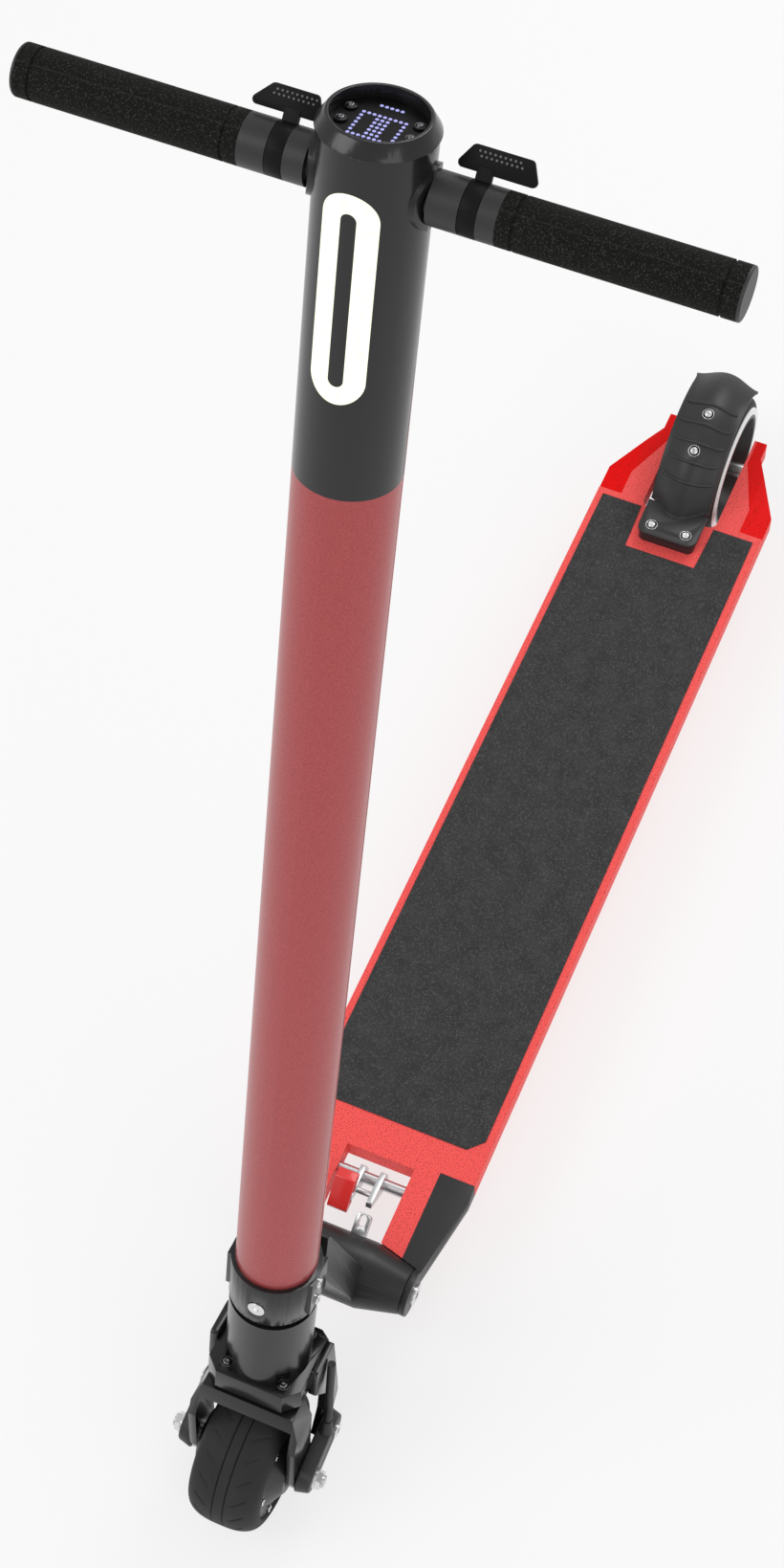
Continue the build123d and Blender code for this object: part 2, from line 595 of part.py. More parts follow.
# ---------------------------------------------------------------- fork
crown_low_s = crown_top_s - 20.0
leg_in_y = 38.0
leg_out_y = 44.0
crown_plan = [(-32.0, 30.0), (-26.0, leg_in_y), (24.0, leg_in_y), (35.5, 27.0)]
crown_face = make_face(Polyline(*two_sided(crown_plan), close=True))
crown = on_stem(crown_low_s) * extrude(crown_face, crown_top_s - crown_low_s)
crown += up_stem(steerer_r - steerer_wall, crown_top_s - 1, crown_top_s + 12)
crown_bolt_r = 2.5
crown_bolt_l = 16.0
crown_bolts = []
for f, lat in crown_bolt_spots:
    crown -= up_stem(crown_bolt_r, crown_top_s - crown_bolt_l, crown_top_s, f, lat)
    crown_bolts.append(on_stem(crown_top_s, f, lat) * socket_screw(crown_bolt_head_r, 4.0, crown_bolt_r, crown_bolt_l))
keep("steering", "fork_crown", crown)
keep("steering", "crown_bolts", *crown_bolts)

# front plate: bridge between the legs, with a web that meets the crown
bridge_low_s = 63.0
bridge_top_s = crown_low_s - 4.0
axle_r = 6.0
pivot_x, pivot_z = front_axle_x - 39.0, front_z + 6.0
pivot_r = 3.0
leg_front = [stem_xz(14, bridge_top_s), stem_xz(36, bridge_top_s), (front_axle_x + 7, front_z + 58),
             (front_axle_x + 14, front_z + 6), (front_axle_x + 12, front_z - 8), (front_axle_x - 2, front_z - 18),
             (front_axle_x - 16, front_z - 10), (front_axle_x - 20, front_z + 28)]
front_leg = prism_y(leg_front, leg_in_y, leg_out_y, 3.0)
front_leg -= along_y(axle_r, leg_in_y - 1, leg_out_y + 1, front_axle_x, front_z)
bridge = prism_y([stem_xz(14, bridge_top_s), stem_xz(36, bridge_top_s), stem_xz(39, bridge_low_s + 8),
                  stem_xz(33, bridge_low_s + 5), stem_xz(14, bridge_low_s + 9)], -leg_in_y, leg_in_y)
web = prism_y([stem_xz(14, bridge_top_s - 1), stem_xz(33, bridge_top_s - 1), stem_xz(33, crown_low_s),
               stem_xz(14, crown_low_s)], -25.0, 25.0)
front_plate = bridge + front_leg + mirror(front_leg, about=Plane.XZ) + web
# the legs splay outwards from narrow shoulders, inside and outside
shoulder_y = 37.0
shoulder_low_s = bridge_top_s - 20.0
outer_corner = [(leg_out_y + 1, shoulder_low_s), (leg_out_y + 1, bridge_top_s + 3), (shoulder_y, bridge_top_s + 3),
                (shoulder_y, bridge_top_s), (leg_out_y, shoulder_low_s)]
gusset_low_s = bridge_low_s - 5.0
inner_corner = [(leg_in_y + 1, gusset_low_s), (leg_in_y + 1, bridge_low_s + 11), (31.5, bridge_low_s + 11)]


def across_stem(points, front, back):
    """Prism along the steering axis frame's forward way, from (Y, s) corners."""
    face = make_face(Polyline(*[(back, y, s) for y, s in points], close=True))
    return on_stem(0) * extrude(face, front - back, dir=(1, 0, 0))


front_plate += both_sides(across_stem(inner_corner, 33, 15))
for corner in both_sides(across_stem(outer_corner, 45, 5)):
    front_plate -= corner
keep("steering", "fork_front_plate", front_plate)

leg_rear = [stem_xz(-21, crown_top_s + 7), stem_xz(10, crown_top_s + 7), stem_xz(10, crown_low_s - 2),
            (pivot_x - 12, front_z + 48), (pivot_x - 6, front_z + 24), (pivot_x + 9, front_z + 2),
            (pivot_x + 6, front_z - 8), (pivot_x - 14, front_z - 18), (pivot_x - 31, front_z + 6),
            (pivot_x - 32, front_z + 30)]
rear_leg = prism_y(leg_rear, leg_in_y, leg_out_y, 2.5)
rear_leg -= front_leg
rear_leg -= along_y(pivot_r, leg_in_y - 1, leg_out_y + 1, pivot_x, pivot_z)
keep("steering", "fork_rear_legs", *both_sides(rear_leg.solids().sort_by(SortBy.VOLUME)[-1]))

cover_r = 15.5
cover_top_r = 12.5
cover_out_y = 55.5
cover_dir = degrees(atan2(pivot_z - front_z, pivot_x - front_axle_x))
cover_span = hypot(pivot_z - front_z, pivot_x - front_axle_x)
cover_mid = ((front_axle_x + pivot_x) / 2, (front_z + pivot_z) / 2)
loops = []
for y, r in ((leg_out_y, cover_r), (cover_out_y, cover_top_r)):
    loops.append(Plane.XZ.offset(-y) * (Pos(*cover_mid) * SlotCenterToCenter(cover_span, 2 * r, rotation=cover_dir)))
axle_cover = loft(loops)
axle_cover -= along_y(axle_r, 0, cover_out_y + 1, front_axle_x, front_z)
axle_cover -= along_y(pivot_r, 0, cover_out_y + 1, pivot_x, pivot_z)
keep("steering", "axle_covers", *both_sides(axle_cover))

washer_t = 2.0
stud_r = axle_r - 1.0
stud_l = 8.0
nut = along_y(8.5, cover_out_y, cover_out_y + washer_t, front_axle_x, front_z)
nut += hex_nut(7.8, cover_out_y + washer_t, cover_out_y + washer_t + 4, front_axle_x, front_z)
nut -= along_y(stud_r, 0, cover_out_y + stud_l + 1, front_axle_x, front_z)
pivot_screw = Pos(pivot_x, cover_out_y, pivot_z) * Rot(-90, 0, 0)
pivot_screw = pivot_screw * socket_screw(6.0, 2.4, pivot_r, cover_out_y - leg_in_y)
keep("steering", "axle_fasteners", *both_sides(nut), *both_sides(pivot_screw))

axle = along_y(axle_r, -cover_out_y, cover_out_y, front_axle_x, front_z)
axle += along_y(stud_r, -cover_out_y - stud_l, cover_out_y + stud_l, front_axle_x, front_z)
keep("steering", "motor_axle", axle)

stator_r = 34.0
stator_half = 12.0
stator = ring_along_y(stator_r, axle_r, -stator_half, stator_half, front_axle_x, front_z)
tooth_count = 12
for n in range(tooth_count):
    tooth_gap = Pos(front_axle_x, 0, front_z) * Rot(0, 360 / tooth_count * n, 0)
    stator -= tooth_gap * Pos(stator_r - 7, 0, 0) * Box(16, 2 * stator_half + 2, 4)
keep("steering", "motor_stator", stator)

# ---------------------------------------------------------------- front wheel: hub motor
rim_r = front_tyre_r - 16.0
groove_y = 4.5
groove_half = 0.6
groove_depth = 1.2
bead_half = front_tyre_half - 4.0
tyre_profile = [(rim_r, -bead_half), (front_tyre_r - 9, -front_tyre_half), (front_tyre_r - 4, -front_tyre_half + 2),
                (front_tyre_r - 1.2, -front_tyre_half + 9), (front_tyre_r, -front_tyre_half + 19)]
front_tyre = turned_y(mirrored_profile(tyre_profile), front_axle_x, front_z)
for y in (-groove_y, groove_y):
    front_tyre -= ring_along_y(front_tyre_r + 1, front_tyre_r - groove_depth, y - groove_half, y + groove_half,
                               front_axle_x, front_z)
keep("front_wheel", "front_tyre", front_tyre)

side_in = bead_half - 2.0
keep("front_wheel", "motor_shell",
     ring_along_y(rim_r, stator_r + move_gap, -side_in, side_in, front_axle_x, front_z))

bearing_r = 13.0
side_out = leg_in_y - 1.2
shoulder = 4.0
side_profile = [(bearing_r, side_in), (rim_r, side_in), (rim_r - 1, side_in + shoulder),
                (rim_r - 10, side_in + shoulder), (20.0, side_out), (bearing_r, side_out)]
motor_cover = turned_y(side_profile, front_axle_x, front_z)
side_screw_r = 1.5
side_screw_depth = 4.0
side_screws = []
for n in range(6):
    turn = radians(60 * n + 20)
    x, z = front_axle_x + (rim_r - 5.5) * cos(turn), front_z + (rim_r - 5.5) * sin(turn)
    seat_y = side_in + shoulder
    motor_cover -= along_y(side_screw_r, seat_y - side_screw_depth, seat_y, x, z)
    screw = Pos(x, seat_y, z) * Rot(-90, 0, 0) * socket_screw(2.8, 2.0, side_screw_r, side_screw_depth)
    side_screws.extend(both_sides(screw))
keep("front_wheel", "motor_covers", *both_sides(motor_cover))
keep("front_wheel", "motor_cover_screws", *side_screws)
keep("front_wheel", "motor_bearings",
     *both_sides(ring_along_y(bearing_r, axle_r + running_gap, side_in, side_out, front_axle_x, front_z)))

# ---------------------------------------------------------------- motor cable, held along the left leg
cable_r = 3.2
cable_y = leg_out_y + cable_r + part_gap
relief_x, relief_z = pivot_x + 2.0, pivot_z + cover_r - 3.0
relief_l = 11.0
cable_top = stem_xz(-10, crown_top_s - 4)
route = [(cable_top[0], cable_y, cable_top[1]), (pivot_x - 8, cable_y + 1.5, front_z + 58),
         (pivot_x - 4, cable_y + 2.5, front_z + 42), (relief_x, cable_y + 3, relief_z + relief_l)]
cable_path = FilletPolyline(*route, radius=20)
cable = sweep(Plane(origin=cable_path @ 0, z_dir=cable_path % 0) * Circle(cable_r), path=cable_path)
relief_plane = Plane(origin=route[-1], z_dir=Vector(*route[-1]) - Vector(*route[-2]))
relief = relief_plane.location * Pos(0, 0, relief_l / 2) * Cone(cable_r + 0.8, cable_r + 2.6, relief_l)
relief -= along_y(cover_r, leg_out_y, cover_out_y, pivot_x, pivot_z)
keep("steering", "motor_cable", cable)
keep("steering", "cable_relief", (relief - axle_cover).solids().sort_by(SortBy.VOLUME)[-1])

# ---------------------------------------------------------------- rear wheel
rear_rim_r = rear_tyre_r - 10.0
rear_rim_half = rear_tyre_half + 2.0
rim_in_r = rear_rim_r - 15.0
rear_profile = [(rear_rim_r, -rear_tyre_half), (rear_tyre_r - 4, -rear_tyre_half), (rear_tyre_r - 1, -rear_tyre_half + 5),
                (rear_tyre_r, -rear_tyre_half + 14)]
keep("rear_wheel", "rear_tyre", turned_y(mirrored_profile(rear_profile), rear_axle_x, rear_z))

rim_web_half = 10.0
rim_profile = [(rim_in_r, -rim_web_half), (rim_in_r + 5, -rear_rim_half), (rear_rim_r - 1, -rear_rim_half),
               (rear_rim_r, -rear_rim_half + 1.5)]
rear_rim = turned_y(mirrored_profile(rim_profile), rear_axle_x, rear_z)
keep("rear_wheel", "rear_rim", rear_rim)

rear_hub_r = 16.0
rear_bearing_r = 11.0
rear_hub_half = 20.0
spoke_count = 5
spokes = ring_along_y(rear_hub_r, rear_bearing_r, -rear_hub_half, rear_hub_half, rear_axle_x, rear_z)
for n in range(spoke_count):
    spoke = Box(rim_in_r - rear_hub_r + 3, 2 * rim_web_half - 2, 11)
    spokes += Pos(rear_axle_x, 0, rear_z) * Rot(0, 360 / spoke_count * n, 0) * Pos((rear_hub_r + rim_in_r) / 2, 0, 0) * spoke
spokes -= ring_along_y(rear_rim_r + 1, rim_in_r, -rear_hub_half, rear_hub_half, rear_axle_x, rear_z)
keep("rear_wheel", "rear_spokes", spokes)

rear_bearing_l = 7.0
rear_bearing = ring_along_y(rear_bearing_r, rear_axle_r + running_gap, rear_hub_half - rear_bearing_l, rear_hub_half,
                            rear_axle_x, rear_z)
keep("rear_wheel", "rear_bearings", *both_sides(rear_bearing))

rear_nut_t = 5.0
rear_stud = rear_nut_t + 2.0
rear_nut = hex_nut(rear_nut_r, nut_seat_y, nut_seat_y + rear_nut_t, rear_axle_x, rear_z)
rear_nut -= along_y(rear_axle_r, 0, nut_seat_y + rear_stud, rear_axle_x, rear_z)
spacer = ring_along_y(rear_axle_r + 3, rear_axle_r, rear_hub_half + part_gap, slot_half_width, rear_axle_x, rear_z)
rear_axle_end_y = nut_seat_y + rear_stud
keep("deck", "rear_axle", along_y(rear_axle_r, -rear_axle_end_y, rear_axle_end_y, rear_axle_x, rear_z))
keep("deck", "rear_axle_nuts", *both_sides(rear_nut), *both_sides(spacer))

# ---------------------------------------------------------------- fender and foot brake
block_inset = 1.5
base_low = deck_top + fender_block_height
base_top = base_low + fender_wall
block_half = fender_half_width - block_inset
block = prism_z([(fender_base_front_x - block_inset, -block_half), (fender_base_front_x - block_inset, block_half),
                 (slot_front_x + block_inset, block_half), (slot_front_x + block_inset, -block_half)],
                deck_top, base_low)
block = fillet(block.edges().filter_by(Axis.Z), 6)
base = prism_z([(fender_base_front_x, -fender_half_width), (fender_base_front_x, fender_half_width),
                (slot_front_x, fender_half_width + 1), (slot_front_x, -fender_half_width - 1)], base_low, base_top)
base = fillet(base.edges().filter_by(Axis.Z).group_by(Axis.X)[-1], 9)
base_screws = []
for y in (-base_screw_y, base_screw_y):
    hole = Pos(base_screw_x, y, base_low) * Cylinder(base_screw_r, 2 * (fender_block_height + fender_wall))
    block -= hole
    base -= hole
    screw_l = fender_wall + fender_block_height + base_screw_depth
    base_screws.append(Pos(base_screw_x, y, base_top) * socket_screw(5.4, 2.6, base_screw_r, screw_l))
keep("deck", "fender_block", block)
keep("deck", "fender_base", base)
keep("deck", "fender_base_screws", *base_screws)

# the shell runs round the rear axle: an arched section, highest in the mid-plane
fender_side_r = rear_tyre_r + fender_gap


def arch_section(angle_deg, rise):
    """Arched band across the shell, on the half plane through the rear axle at this angle."""
    angle = radians(angle_deg)
    plane = Plane(origin=(rear_axle_x, 0, rear_z), x_dir=(0, 1, 0), z_dir=(-sin(angle), 0, cos(angle)))
    up = 1 if plane.y_dir.X * cos(angle) + plane.y_dir.Z * sin(angle) > 0 else -1
    low, high = up * fender_side_r, up * (fender_side_r + rise)
    wall = up * fender_wall
    outer = ThreePointArc((-fender_half_width, low), (0, high), (fender_half_width, low))
    inner = ThreePointArc((fender_half_width - fender_wall, low - wall / 2), (0, high - wall),
                          (fender_wall - fender_half_width, low - wall / 2))
    return plane * make_face(outer + Line(outer @ 1, inner @ 0) + inner + Line(inner @ 1, outer @ 0))


section_count = 8
front_rise, crest_rise = 16.0, 8.5
sections = []
for n in range(section_count):
    share = n / (section_count - 1)
    rise = crest_rise + (front_rise - crest_rise) * (1 - share) ** 3
    sections.append(arch_section(fender_low_angle + (fender_high_angle - fender_low_angle) * share, rise))
fender = loft(sections)
fender -= Pos(slot_front_x + 50 - part_gap, 0, base_top + part_gap - 50) * Box(100, 4 * fender_half_width, 100)
fender_screws = []
fender_screw_head_r = 5.2
fender_screw_sink = 1.2
for angle, rise in ((56.0, crest_rise + 1.0), (80.0, crest_rise)):
    seat_r = fender_side_r + rise - fender_screw_sink
    seat = Pos(rear_axle_x, 0, rear_z) * Rot(0, 90 - angle, 0) * Pos(0, 0, seat_r)
    fender -= seat * Pos(0, 0, 5) * Cylinder(fender_screw_head_r + part_gap, 10)
    fender -= seat * Cylinder(2.2, 16)
    fender_screws.append(seat * socket_screw(fender_screw_head_r, 2.8, 2.2, 5.0))
keep("fender", "fender", fender.solids().sort_by(SortBy.VOLUME)[-1])
keep("fender", "fender_screws", *fender_screws)

for name, nodes in bodies.items():
    print(name, len(nodes), ", ".join(nodes))
print("nodes in all", sum(len(nodes) for nodes in bodies.values()))
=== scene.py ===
import json
from math import cos, pi, radians, sin

import bmesh
import bpy
from mathutils import Matrix, Vector

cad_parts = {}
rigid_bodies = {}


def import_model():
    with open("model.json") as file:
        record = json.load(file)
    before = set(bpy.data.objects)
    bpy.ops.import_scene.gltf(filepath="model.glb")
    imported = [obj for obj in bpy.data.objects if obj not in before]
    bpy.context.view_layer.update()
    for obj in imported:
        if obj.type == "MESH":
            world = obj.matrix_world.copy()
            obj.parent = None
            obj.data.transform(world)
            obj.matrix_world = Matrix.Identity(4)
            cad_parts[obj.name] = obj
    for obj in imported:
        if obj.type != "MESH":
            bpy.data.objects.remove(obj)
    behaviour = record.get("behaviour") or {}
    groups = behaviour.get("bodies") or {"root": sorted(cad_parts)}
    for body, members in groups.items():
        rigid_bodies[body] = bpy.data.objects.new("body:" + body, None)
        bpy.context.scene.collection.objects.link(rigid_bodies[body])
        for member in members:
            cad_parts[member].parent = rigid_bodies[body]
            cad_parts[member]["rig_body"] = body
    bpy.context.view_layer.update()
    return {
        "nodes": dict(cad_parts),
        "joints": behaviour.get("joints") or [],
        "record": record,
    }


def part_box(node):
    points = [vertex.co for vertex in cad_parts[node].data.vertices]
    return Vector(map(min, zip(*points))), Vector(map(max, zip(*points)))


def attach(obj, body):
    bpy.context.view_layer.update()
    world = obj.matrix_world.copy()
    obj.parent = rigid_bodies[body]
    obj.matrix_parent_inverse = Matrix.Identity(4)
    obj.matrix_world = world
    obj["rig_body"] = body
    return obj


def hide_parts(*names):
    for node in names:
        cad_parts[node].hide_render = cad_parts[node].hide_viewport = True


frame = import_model()
nodes = frame["nodes"]
joints = {joint["name"]: joint for joint in frame["joints"]}
slotOf = {part["node"]: part["material_slot"] for part in frame["record"]["subparts"]}
mm = 0.001
print("frame loaded", len(nodes), "nodes")

# the steering frame: forwards, left and up the stem, from the point level with the front axle
stemAxis = Vector(joints["steer"]["axis"]).normalized()
stemFoot = Vector(joints["steer"]["pos_m"])
stemForward = Vector((stemAxis.z, 0, -stemAxis.x))
leftward = Vector((0, 1, 0))
frontAxle = Vector(joints["front_spin"]["pos_m"])
rearAxle = Vector(joints["rear_spin"]["pos_m"])
barCentre = Vector(joints["brake_press"]["pos_m"])


def stemPoint(up, forward, left):
    # a place in the steering frame, given in millimetres
    return stemFoot + stemAxis * up * mm + stemForward * forward * mm + leftward * left * mm


def boxSize(node):
    low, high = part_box(node)
    return Vector(high) - Vector(low)


# the camera's place, the ways to its right and down, and its lens in millimetres
cameraLook = {
    "place": (1.0497, 0.3945, 2.1584),
    "right": (-0.39621, 0.91795, -0.01967),
    "down": (0.79420, 0.33189, -0.50902),
    "lens": 63.52,
}


def makeCamera():
    data = bpy.data.cameras.new("camera")
    data.lens = cameraLook["lens"]
    data.sensor_width = 36
    data.clip_end = 50
    camera = bpy.data.objects.new("camera", data)
    right = Vector(cameraLook["right"]).normalized()
    upward = -Vector(cameraLook["down"]).normalized()
    back = right.cross(upward).normalized()
    upward = back.cross(right)
    turn = Matrix((right, upward, back)).transposed().to_4x4()
    camera.matrix_world = Matrix.Translation(cameraLook["place"]) @ turn
    bpy.context.scene.collection.objects.link(camera)
    bpy.context.scene.camera = camera


makeCamera()
print("camera set")


class Wire:
    # one output socket; adding, multiplying or comparing wires adds Math nodes
    def __init__(self, shade, socket):
        self.shade = shade
        self.socket = socket

    def maths(self, operation, first, second=0.0):
        return self.shade.add("ShaderNodeMath", {"operation": operation}, {0: first, 1: second})

    def __add__(self, other):
        return self.maths("ADD", self, other)

    __radd__ = __add__

    def __sub__(self, other):
        return self.maths("SUBTRACT", self, other)

    def __rsub__(self, other):
        return self.maths("SUBTRACT", other, self)

    def __mul__(self, other):
        return self.maths("MULTIPLY", self, other)

    __rmul__ = __mul__

    def __gt__(self, other):
        return self.maths("GREATER_THAN", self, other)

    def __lt__(self, other):
        return self.maths("LESS_THAN", self, other)

    def size(self):
        return self.maths("ABSOLUTE", self)

    def clamped(self, low, high):
        # 0 at low and 1 at high
        return self.shade.add("ShaderNodeMapRange", {}, {0: self, 1: low, 2: high, 3: 0.0, 4: 1.0})


class Shade:
    # a material, its principled shader and the one method that adds any node
    def __init__(self, name):
        self.material = bpy.data.materials.new(name)
        self.material.use_nodes = True
        self.tree = self.material.node_tree
        self.shader = self.tree.nodes["Principled BSDF"]
        self.place = self.add("ShaderNodeTexCoord", {}, {}, "Object")

    def add(self, kind, settings, inputs, output=0):
        node = self.tree.nodes.new(kind)
        for key, value in settings.items():
            setattr(node, key, value)
        for key, value in inputs.items():
            self.feed(node.inputs[key], value)
        return Wire(self, node.outputs[output])

    def feed(self, socket, value):
        if isinstance(value, Wire):
            self.tree.links.new(value.socket, socket)
        else:
            socket.default_value = value

    def set(self, **values):
        for key, value in values.items():
            self.feed(self.shader.inputs[key.replace("_", " ")], value)
        return self

    def axis(self, name):
        return self.add("ShaderNodeSeparateXYZ", {}, {0: self.place}, name)

    def noise(self, scale, detail=2.0):
        inputs = {"Vector": self.place, "Scale": scale, "Detail": detail}
        return self.add("ShaderNodeTexNoise", {}, inputs, "Fac")

    def mix(self, factor, first, second):
        # inputs 6 and 7 and output 2 are the node's colours
        return self.add("ShaderNodeMix", {"data_type": "RGBA"}, {0: factor, 6: first, 7: second}, 2)

    def bump(self, height, distance):
        # distance is in millimetres
        inputs = {"Height": height, "Distance": distance * mm, "Strength": 1.0}
        return self.set(Normal=self.add("ShaderNodeBump", {}, inputs))


def rgb(red, green, blue):
    return (red, green, blue, 1.0)


def shaded(colour, share):
    return tuple(value * share for value in colour[:3]) + (1.0,)


deckLook = {
    # deep is painted shade for the sloped wings beside the rear wheel
    "coral": rgb(0.92, 0.105, 0.098), "deep": rgb(0.80, 0.0, 0.0), "fleck": rgb(0.16, 0.008, 0.008),
    "grit": 900.0, "topSkin": 4.0,
    # the wings are the slopes beside the rear wheel, where the deep red is painted shade of the sloped faces;
    # measured from its axle and from the middle
    "wingFrom": 47.0, "wingLong": 50.0, "wingInner": 58.0, "wingTaper": 19.5, "wingBehindTape": 7.0,
}


def deckPaint():
    shade = Shade("deckPaint")
    look = deckLook
    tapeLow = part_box("grip_tape")[0]
    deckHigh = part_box("deck_shell")[1]
    x, y, z = shade.axis("X"), shade.axis("Y").size(), shade.axis("Z")
    along = (rearAxle.x + look["wingFrom"] * mm - x).clamped(0.0, look["wingLong"] * mm)
    inner = look["wingInner"] * mm - along * (look["wingTaper"] * mm)
    slopeShadeMask = (y > inner) * (x < tapeLow[0] - look["wingBehindTape"] * mm)
    slopeShadeMask = slopeShadeMask * (z > deckHigh[2] - look["topSkin"] * mm)
    grit = shade.noise(look["grit"], 1.0)
    fleck = grit.clamped(0.60, 0.66)
    # the deep red on the wing slopes is painted shade of the sloped faces
    paint = shade.mix(slopeShadeMask, look["coral"], look["deep"])
    shade.set(Base_Color=shade.mix(fleck * 0.7, paint, look["fleck"]), Roughness=0.5 + fleck * 0.2)
    shade.set(Specular_IOR_Level=0.1)
    return shade.bump(grit, 0.04)


stemLook = {
    "dark": rgb(0.34, 0.045, 0.048), "light": rgb(0.44, 0.075, 0.078), "grain": 1500.0, "tone": 1100.0,
}


def stemPaint():
    shade = Shade("stemPaint")
    grain = shade.noise(stemLook["grain"], 1.0)
    tone = shade.noise(stemLook["tone"], 1.0).clamped(0.3, 0.7)
    paint = shade.mix(tone, stemLook["dark"], stemLook["light"])
    shade.set(Base_Color=paint, Metallic=0.6, Roughness=0.38 + grain * 0.1, Coat_Weight=0.35)
    return shade.bump(grain, 0.01)


def plainPaint(name, colour, roughness, coat=0.0, grain=0.02, scale=1200.0, gloss=0.5):
    # grain is the bump's height in millimetres
    shade = Shade(name)
    texture = shade.noise(scale)
    cloud = shade.noise(30.0).clamped(0.3, 0.7)
    shade.set(Base_Color=shade.mix(cloud, shaded(colour, 0.86), colour))
    shade.set(Roughness=roughness + (texture - 0.5) * 0.12, Coat_Weight=coat, Specular_IOR_Level=gloss)
    return shade.bump(texture, grain)


brushLook = {"across": 900.0, "along": 30.0}


def brushedSteel(name, colour, roughness):
    shade = Shade(name)
    stretch = (brushLook["across"], brushLook["along"], brushLook["across"])
    mapping = shade.add("ShaderNodeMapping", {}, {"Vector": shade.place, "Scale": stretch})
    inputs = {"Vector": mapping, "Scale": 1.0, "Detail": 2.0}
    brushing = shade.add("ShaderNodeTexNoise", {}, inputs, "Fac")
    shade.set(Base_Color=colour, Metallic=1.0, Roughness=roughness + brushing * 0.15)
    return shade.bump(brushing, 0.01)


tapeLook = {
    "dark": rgb(0.034, 0.034, 0.035), "pale": rgb(0.046, 0.046, 0.047), "grain": rgb(0.085, 0.085, 0.087),
    "grainScale": 700.0, "patchScale": 60.0, "grainHigh": 0.25,
}


def tapeGrit():
    shade = Shade("tapeGrit")
    grains = shade.noise(tapeLook["grainScale"])
    light = grains.clamped(0.50, 0.75)
    patch = shade.noise(tapeLook["patchScale"]).clamped(0.3, 0.7)
    base = shade.mix(patch, tapeLook["dark"], tapeLook["pale"])
    shade.set(Base_Color=shade.mix(light, base, tapeLook["grain"]), Roughness=0.85 - light * 0.2)
    shade.set(Specular_IOR_Level=0.15)
    return shade.bump(grains, tapeLook["grainHigh"])


foamLook = {
    "dark": rgb(0.006, 0.006, 0.005), "speck": rgb(0.035, 0.035, 0.03), "seam": rgb(0.03, 0.03, 0.028),
    "poreScale": 1500.0, "speckScale": 1100.0, "seamAhead": 6.0, "seamHalf": 0.5, "poreDeep": 0.12,
}


def gripFoam():
    shade = Shade("gripFoam")
    inputs = {"Vector": shade.place, "Scale": foamLook["poreScale"]}
    pores = shade.add("ShaderNodeTexVoronoi", {}, inputs, "Distance")
    speck = shade.noise(foamLook["speckScale"], 1.0).clamped(0.56, 0.68)
    seamLine = barCentre.x + foamLook["seamAhead"] * mm
    seam = 1.0 - (shade.axis("X") - seamLine).size().clamped(0.0, foamLook["seamHalf"] * mm)
    colour = shade.mix(speck, foamLook["dark"], foamLook["speck"])
    shade.set(Base_Color=shade.mix(seam * 0.5, colour, foamLook["seam"]), Roughness=0.8)
    shade.set(Specular_IOR_Level=0.12)
    return shade.bump(pores, foamLook["poreDeep"])


rubberLook = {
    "clean": rgb(0.020, 0.020, 0.021), "dusty": rgb(0.032, 0.032, 0.031), "dust": 35.0, "grain": 1300.0,
}


def tyreRubber():
    shade = Shade("tyreRubber")
    dust = shade.noise(rubberLook["dust"], 4.0).clamped(0.42, 0.75)
    colour = shade.mix(dust, rubberLook["clean"], rubberLook["dusty"])
    shade.set(Base_Color=colour, Roughness=0.6 + dust * 0.15, Specular_IOR_Level=0.25)
    return shade.bump(shade.noise(rubberLook["grain"]), 0.05)


def glowing(name, colour, strength, edge):
    shade = Shade(name)
    haze = shade.noise(220.0).clamped(0.3, 0.7)
    shade.set(Base_Color=shaded(colour, 0.3), Roughness=0.5)
    return shade.set(Emission_Color=shade.mix(haze, edge, colour), Emission_Strength=strength)


rimLook = {"white": rgb(0.88, 0.88, 0.88), "black": rgb(0.006, 0.006, 0.006), "whiteFrom": 53.5}


def rimPaint():
    # white outside, black where the spokes sit
    shade = Shade("rimPaint")
    x, z = shade.axis("X") - rearAxle.x, shade.axis("Z") - rearAxle.z
    outer = (x * x + z * z) > (rimLook["whiteFrom"] * mm) ** 2
    return shade.set(Base_Color=shade.mix(outer, rimLook["black"], rimLook["white"]), Roughness=0.4)


wrapLook = {"sleeve": rgb(0.03, 0.12, 0.4), "band": rgb(0.7, 0.7, 0.7), "repeat": 33.0, "bandWide": 1.0}


def batteryWrap():
    # a pale band between each two layers of cells, up the stem
    shade = Shade("batteryWrap")
    inputs = {0: shade.place, 1: tuple(stemAxis)}
    up = shade.add("ShaderNodeVectorMath", {"operation": "DOT_PRODUCT"}, inputs, "Value")
    repeat, wide = wrapLook["repeat"] * mm, wrapLook["bandWide"] * mm
    band = up.maths("PINGPONG", up, repeat).clamped(repeat - 2 * wide, repeat - wide)
    return shade.set(Base_Color=shade.mix(band, wrapLook["sleeve"], wrapLook["band"]), Roughness=0.35)


windingLook = {"copper": rgb(0.5, 0.2, 0.08), "turns": 900.0, "deep": 0.1}


def copperWinding():
    shade = Shade("copperWinding")
    inputs = {"Vector": shade.place, "Scale": windingLook["turns"]}
    wave = shade.add("ShaderNodeTexWave", {"bands_direction": "Y"}, inputs)
    shade.set(Base_Color=windingLook["copper"], Metallic=0.9, Roughness=0.35)
    return shade.bump(wave, windingLook["deep"])


